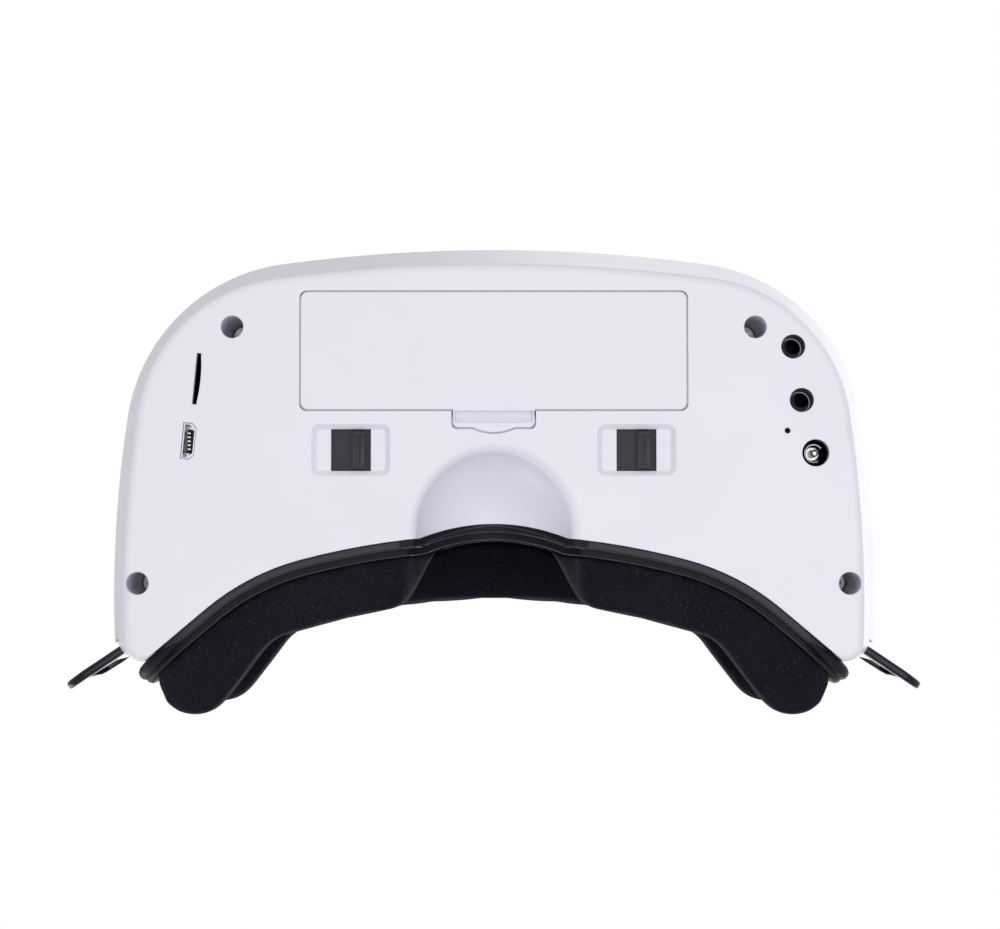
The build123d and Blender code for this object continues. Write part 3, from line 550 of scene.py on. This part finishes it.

# %% [markdown]
# The frame that carries the pad has finer steps than its plain CAD solid: a satin
# grey band beside the case, rounded ends at the temples, and thin beads where the
# edges turn and catch the light. They are strips: a short section swept along the
# frame's own outlines. Those outlines are read from its mesh, as the edges where
# a rear face meets another face.

# %% Outlines of the face frame
# Both finishes paint a highlight along their edges with their third, lighter colour.
finish["satin_band"] = hard_finish("satin_band", (0.026, 0.026, 0.038), (0.036, 0.036, 0.05),
                                   (0.15, 0.15, 0.18), rough=(0.3, 0.42), grain=(1900.0, 0.05),
                                   radius=0.2 * MM, shine=0.2)
finish["bead"] = hard_finish("bead", (0.02, 0.02, 0.027), (0.03, 0.03, 0.038), (0.12, 0.12, 0.14),
                             rough=(0.2, 0.3), coat=0.12, grain=(1900.0, 0.03), radius=0.15 * MM, shine=0.2)


def border_edges(bm, faces):
    """Edges between a set of faces and the rest, in the mesh's own order."""
    return [e for e in bm.edges if sum(f in faces for f in e.link_faces) == 1]


def loops_of(edges):
    """Orders edges into closed loops of points."""
    todo, loops = dict.fromkeys(edges), []
    while todo:
        edge = next(iter(todo))
        del todo[edge]
        first, vert = edge.verts
        points = [vert.co.copy()]
        while vert is not first:
            step = [e for e in vert.link_edges if e in todo]
            if not step:
                break
            del todo[step[0]]
            vert = step[0].other_vert(vert)
            points.append(vert.co.copy())
        loops.append(points)
    return loops


def even_loop(points, spacing):
    """The same closed loop with evenly spaced points."""
    points = points + points[:1]
    reach = [0.0]
    for a, b in zip(points, points[1:]):
        reach.append(reach[-1] + (b - a).length)
    count = int(reach[-1] / spacing)
    at = np.linspace(0.0, reach[-1], count, endpoint=False)
    return [Vector([float(np.interp(d, reach, [p[k] for p in points])) for k in range(3)]) for d in at]


bm = merged_copy("face_frame")
rear = {f for f in bm.faces if f.normal.y > 0.5 and abs(f.normal.z) < 0.2}
outlines = [even_loop(points, 1.0 * MM) for points in loops_of(border_edges(bm, rear))]
bm.free()
outlines.sort(key=lambda loop: (-max(p.x for p in loop), -max(p.y for p in loop)))  # widest first
rim_outline, step_outline = outlines[:2]
print("outline points:", [len(loop) for loop in outlines])

# %% [markdown]
# At each point of an outline three directions are needed: along it, outwards in
# the frame's plane, and backwards to the face. A section is a list of places in
# (outwards, backwards), and a share makes it grow or shrink on the way.

# %% Swept strips
def frames_along(loop):
    """Place, outward and backward direction at each point of a closed loop."""
    middle = sum(loop, Vector()) / len(loop)
    rows = []
    for i, place in enumerate(loop):
        along = (loop[(i + 1) % len(loop)] - loop[i - 1]).normalized()
        back = Vector((0, 1, 0))
        back = (back - along * back.dot(along)).normalized()
        out = along.cross(back)
        if out.dot(place - middle) < 0:
            out = -out
        rows.append((place, out, back))
    return rows


def swept(name, rows, section, material, closed=True, shares=None):
    """A strip with the given section along rows of frames."""
    bm = bmesh.new()
    rings = []
    for i, (place, out, back) in enumerate(rows):
        share = shares[i] if shares else 1.0
        ring = [bm.verts.new(place + (out * a + back * b) * MM * share) for a, b in section]
        rings.append(ring)
    count = len(section)
    for i in range(len(rings) - (0 if closed else 1)):
        ring, following = rings[i], rings[(i + 1) % len(rings)]
        for k in range(count):
            m = (k + 1) % count
            bm.faces.new((ring[k], ring[m], following[m], following[k]))
    if not closed:
        bm.faces.new(rings[0])
        bm.faces.new(rings[-1])
    piece(name, bm, "case", material)


def circle(out, back, radius, count=12):
    """A round section about a place."""
    turns = [2 * math.pi * k / count for k in range(count)]
    return [(out + radius * math.cos(t), back + radius * math.sin(t)) for t in turns]


NOSE_HALF = 21.5 * MM     # the satin band stops beside the nose
LOW_Z = 20.0 * MM         # the nose stretch of an outline lies below this height
END_X = 73.5 * MM         # the rounded ends start here
END_SWELL = 9.5           # and reach their full size within this many mm
BAND = [(-0.3, -1.75), (0.14, -1.7), (0.2, -1.1), (0.14, -0.35), (-0.3, -0.3)]
rim_rows = frames_along(rim_outline)
step_rows = frames_along(step_outline)
at_nose = [abs(place.x) < NOSE_HALF and place.z < LOW_Z for place, out, back in rim_rows]
first = next(i for i in range(len(at_nose)) if at_nose[i - 1] and not at_nose[i])
from_nose = rim_rows[first:] + rim_rows[:first]
band_count = (at_nose[first:] + at_nose[:first]).index(True)
swept("face_band", from_nose[:band_count], BAND, finish["satin_band"], closed=False)
swept("rim_bead", rim_rows, circle(-0.12, -0.12, 0.24), finish["bead"])
swept("step_bead", step_rows, circle(-0.12, -0.12, 0.26), finish["bead"])
for side_name, side in SIDES:
    for label, rows, size in (("rim", rim_rows, 1.75), ("step", step_rows, 1.55)):
        ends = [row for row in rows if row[0].x * side > END_X]
        first = max(range(len(ends)), key=lambda i: (ends[i][0] - ends[i - 1][0]).length)
        ends = ends[first:] + ends[:first]
        shares = [min(1.0, max(0.15, (abs(row[0].x) - END_X + 0.5 * MM) / MM / END_SWELL)) for row in ends]
        swept(f"{side_name}_{label}_end", ends, circle(-0.95, -1.05, size), finish["black_plastic"],
              closed=False, shares=shares)

# %% [markdown]
# Over the nose a low ridge lies on the frame's arch. It starts at the rim's rear
# edge on both sides and comes forward to a shallow peak in the middle, where a
# short seam runs on to the case.

# %% Ridge over the nose
PEAK_FORWARD = 1.7 * MM   # how far the ridge comes forward in the middle
BAR = [(-0.1, -0.28), (0.16, -0.2), (0.22, 0.0), (0.16, 0.2), (-0.1, 0.28)]
ridge = []
for place, out, back in from_nose[band_count:]:
    forward = PEAK_FORWARD * (1.0 - abs(place.x) / NOSE_HALF)
    ridge.append((place - back * forward, out, back))
swept("nose_ridge", ridge, BAR, finish["bead"], closed=False)
place, out, back = min(ridge, key=lambda row: abs(row[0].x))
seam = [(place - back * share * MM, out, Vector((1, 0, 0))) for share in (0.0, 0.5)]
swept("nose_seam", seam, BAR, finish["bead"], closed=False)

# %% [markdown]
# The strap loops are flat rings in the real thing too, but with soft edges, a
# thicker middle and a root that thins towards the pivot. They replace the plain
# CAD loops. Their pivot, slot and direction come from the record, so they swing
# about the same axis.

# %% Strap loops
joints = {row["name"]: row for row in frame["record"]["behaviour"]["joints"]}
mounts = {row["name"]: row for row in frame["record"]["mounts"]}
ROOT, TIP = 1.0, 24.5             # the plate's ends, in mm from the pivot
SLOT_HALF = (4.25, 13.0)          # along the plate and upright
SOFT_EDGE = 0.35                  # how far an edge is rounded in
EDGE_DEPTH = 0.62                 # share of the thickness that the rim's flat keeps


def rounded_rectangle(u0, u1, half, radii, count=9):
    """Points (u, w) of a rectangle whose corners at u0 and u1 have their own radii."""
    corners = ((u1, 1, 0, radii[1]), (u0, 1, 90, radii[0]), (u0, -1, 180, radii[0]), (u1, -1, 270, radii[1]))
    points = []
    for u, sign, start, radius in corners:
        centre = (u - radius if u == u1 else u + radius, sign * (half - radius))
        for k in range(count):
            turn = math.radians(start + 90.0 * k / (count - 1))
            points.append((centre[0] + radius * math.cos(turn), centre[1] + radius * math.sin(turn)))
    return points


def half_thickness(u):
    """Half the plate's thickness in mm at a distance from the pivot: thickest by the slot."""
    return 0.95 + 0.25 * math.exp(-((u - 13.0) / 5.0) ** 2)


def plate_rings(middle, along, across, outlines):
    """The plate's rings from face to face, outer and inner outline in turn."""
    rings = []
    for sign, at_rim in ((-1, False), (-1, True), (1, True), (1, False)):
        for points, centre, inwards in outlines:
            ring = []
            for u, w in points:
                length = math.hypot(u - centre, w)
                share = 1.0 if at_rim else 1.0 - inwards * SOFT_EDGE / length
                depth = sign * half_thickness(u) * (EDGE_DEPTH if at_rim else 1.0)
                flat = along * (centre + (u - centre) * share) + UP * w * share
                ring.append(middle + (flat + across * depth) * MM)
            rings.append(ring)
    return rings


def lathe(bm, profile, place, count=40, arc=2 * math.pi, start=0.0):
    """Turns a profile of (radius, height) in mm about an upright axis."""
    full = arc == 2 * math.pi
    rings = []
    for k in range(count if full else count + 1):
        turn = start + arc * k / count
        spoke = Vector((math.cos(turn), math.sin(turn), 0))
        rings.append([bm.verts.new(Vector(place) + (spoke * r + UP * h) * MM) for r, h in profile])
    for k in range(count):
        a, b = rings[k], rings[(k + 1) % len(rings)]
        for m in range(len(profile)):
            n = (m + 1) % len(profile)
            bm.faces.new((a[m], a[n], b[n], b[m]))
    if not full:
        bm.faces.new(rings[0])
        bm.faces.new(rings[-1])


def strap_loop(side_name, side):
    """The shaped plate and its knuckle, about the pivot that the record gives."""
    node = side_name + "_strap_loop"
    lo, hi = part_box(node)
    height = (hi.z - lo.z) / MM
    pivot = Vector(joints[side_name + "_strap_swivel"]["pos_m"])
    to_slot = Vector(mounts[side_name + "_strap_slot_mount"]["pos_m"]) - pivot
    across = Vector(mounts[side_name + "_strap_slot_mount"]["axis"])
    along = Vector((side * abs(across.y), abs(across.x), 0))
    reach = to_slot.dot(along) / MM
    outer = rounded_rectangle(ROOT, TIP, height / 2, (1.5, 6.0))
    inner = rounded_rectangle(reach - SLOT_HALF[0], reach + SLOT_HALF[0], SLOT_HALF[1], (3.0, 3.0))
    outlines = ((outer, (ROOT + TIP) / 2, 1), (inner, reach, -1))
    middle = pivot + to_slot.dot(across) * across
    bm = bmesh.new()
    rings = [[bm.verts.new(place) for place in ring]
             for ring in plate_rings(middle, along, across, outlines)]
    around = (0, 2, 4, 6, 7, 5, 3, 1)
    for i, a in enumerate(around):
        b = around[(i + 1) % len(around)]
        for k in range(len(outer)):
            m = (k + 1) % len(outer)
            bm.faces.new((rings[a][k], rings[a][m], rings[b][m], rings[b][k]))
    plate = piece(node + "_shaped", bm, node, finish["black_chrome"], 50.0)
    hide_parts(node)
    bm = bmesh.new()
    profile = [(1.62, 0), (2.9, 0), (3.2, 0.3), (3.2, height - 0.3), (2.9, height), (1.62, height)]
    lathe(bm, profile, (pivot.x, pivot.y, lo.z))
    piece(node + "_knuckle", bm, node, finish["black_chrome"])


for side_name, side in SIDES:
    strap_loop(side_name, side)

# %% [markdown]
# The battery door's gap would be a black line, because no light reaches its
# bottom. In the real case a ledge of the shell lies just under it, so the line is
# pale. A narrow ring along the door's outline is that ledge.

# %% Ledge under the door gap
LEDGE = [(0.05, 0.3), (0.27, 0.3), (0.27, 1.1), (0.05, 1.1)]
EDGE_BAND = 0.3 * MM      # the door's lowest outline lies within this of its underside
bm = merged_copy("battery_door")
under = {f for f in bm.faces if f.normal.z < -0.9}
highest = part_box("battery_door")[0].z + EDGE_BAND
low_edges = [e for e in border_edges(bm, under) if all(v.co.z < highest for v in e.verts)]
door_loops = loops_of(low_edges)
bm.free()
door_loop = max(door_loops, key=lambda loop: sum((b - a).length for a, b in zip(loop, loop[1:])))
area = sum(a.x * b.y - b.x * a.y for a, b in zip(door_loop, door_loop[1:] + door_loop[:1]))
outwards = 1 if area > 0 else -1
rows = []
for i, place in enumerate(door_loop):
    along = (door_loop[(i + 1) % len(door_loop)] - door_loop[i - 1]).normalized()
    rows.append((place, along.cross(UP) * outwards, UP))
swept("door_ledge", rows, LEDGE, finish["white_shell"])

# %% [markdown]
# The sockets get the small things that make them read as sockets: a pale ring in
# the mouth of each AV jack, a copper contact spring in the front one, a spring
# ring round the pin of the power socket, and contacts on the USB tongue.

# %% Socket details
# Their third colours are painted highlights along the edges.
finish["pale_ring"] = hard_finish("pale_ring", (0.2, 0.2, 0.24), (0.26, 0.26, 0.3), (0.4, 0.4, 0.45),
                                  rough=(0.25, 0.35), grain=(1900.0, 0.02), radius=0.1 * MM, shine=0.3)
finish["copper"] = hard_finish("copper", (0.42, 0.24, 0.2), (0.5, 0.3, 0.25), (0.7, 0.5, 0.45),
                               rough=(0.3, 0.4), metal=1.0, grain=(1900.0, 0.03), radius=0.1 * MM)


def centre_of(node):
    """The middle of a CAD node's box, and a place under it at its lowest height."""
    lo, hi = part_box(node)
    middle = (lo + hi) / 2
    return middle, Vector((middle.x, middle.y, lo.z))


def slab(bm, place, size, turn=None):
    """A bevelled box, size in mm, turned about its own middle."""
    turn = turn or Matrix()
    made = bmesh.ops.create_cube(bm, size=1.0)["verts"]
    for vert in made:
        local = Vector([vert.co[k] * size[k] * MM for k in range(3)])
        vert.co = Vector(place) + turn @ local
    edges = dict.fromkeys(e for v in made for e in v.link_edges)
    bmesh.ops.bevel(bm, geom=list(edges), offset=min(size) * 0.18 * MM, segments=2,
                    affect="EDGES", profile=0.5, material=-1)


for node in ("av_jack_front", "av_jack_rear"):
    bm = bmesh.new()
    lathe(bm, [(2.42, 0.0), (2.3, 0.12), (2.36, 0.3), (2.55, 0.06), (2.5, -0.03)], centre_of(node)[1])
    piece(node + "_ring", bm, "case", finish["pale_ring"])
bm = bmesh.new()
tilt = Matrix.Rotation(math.radians(35), 4, "Z") @ Matrix.Rotation(math.radians(25), 4, "X")
beside_plug = Vector((-0.7, 0.7, -4.4)) * MM
slab(bm, centre_of("av_jack_front")[0] + beside_plug, (1.1, 0.4, 2.2), tilt)
piece("av_contact", bm, "case", finish["copper"])
bm = bmesh.new()
lathe(bm, [(1.95, 2.4), (1.95, 2.0), (2.25, 1.9), (2.35, 2.4)], centre_of("dc_jack_pin")[1],
      count=36, arc=math.radians(265), start=math.radians(60))
piece("dc_spring", bm, "case", finish["steel"])
USB_PITCH = 0.95 * MM
bm = bmesh.new()
for k in range(5):
    tongue = centre_of("micro_usb_tongue")[1] - UP * 0.02 * MM
    slab(bm, (tongue.x, tongue.y + (k - 2) * USB_PITCH, tongue.z), (0.9, 0.42, 0.3))
piece("usb_contacts", bm, "case", finish["steel"])
THREAD_TOP, THREAD_PITCH = 0.8 * MM, 0.62 * MM
for side_name, side in SIDES:
    node = side_name + "_antenna_socket"
    place = centre_of(node)[0]
    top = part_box(node)[1].z - THREAD_TOP
    bm = bmesh.new()
    for k in range(9):
        lathe(bm, [(3.0, 0.0), (3.17, 0.16), (3.0, 0.32)], (place.x, place.y, top - THREAD_PITCH * k))
    piece(node + "_thread", bm, "case", finish["brass"])

# %% [markdown]
# Each eye slider is a satin plate with a grip rib. Three rounded bars stand on the
# rib, so their edges catch bright lines. The card socket is dressed again too: it
# is black behind its slot.

# %% Slider grips and the card socket
GRIP_BARS = ((0.14, 0.5), (0.45, 0.4), (0.78, 1.3))   # share of the rib's width, and own width in mm
dress(frame["nodes"]["microsd_socket"], finish["black_plastic"])
for side_name, side in SIDES:
    node = side_name + "_ipd_slider"
    dress(frame["nodes"][node], finish["satin_band"])
    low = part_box(node)[0].z
    rib = [v.co for v in frame["nodes"][node].data.vertices if v.co.z < low + 0.05 * MM]
    x0, x1 = min(p.x for p in rib), max(p.x for p in rib)
    y0, y1 = min(p.y for p in rib), max(p.y for p in rib)
    middle, length = (y0 + y1) / 2, (y1 - y0) / MM
    bm = bmesh.new()
    for share, width in GRIP_BARS:
        slab(bm, (x0 + (x1 - x0) * share, middle, low), (width, length - 1.2, 0.36))
    piece(node + "_grip", bm, side_name + "_optics", finish["bead"])
print("details ready")
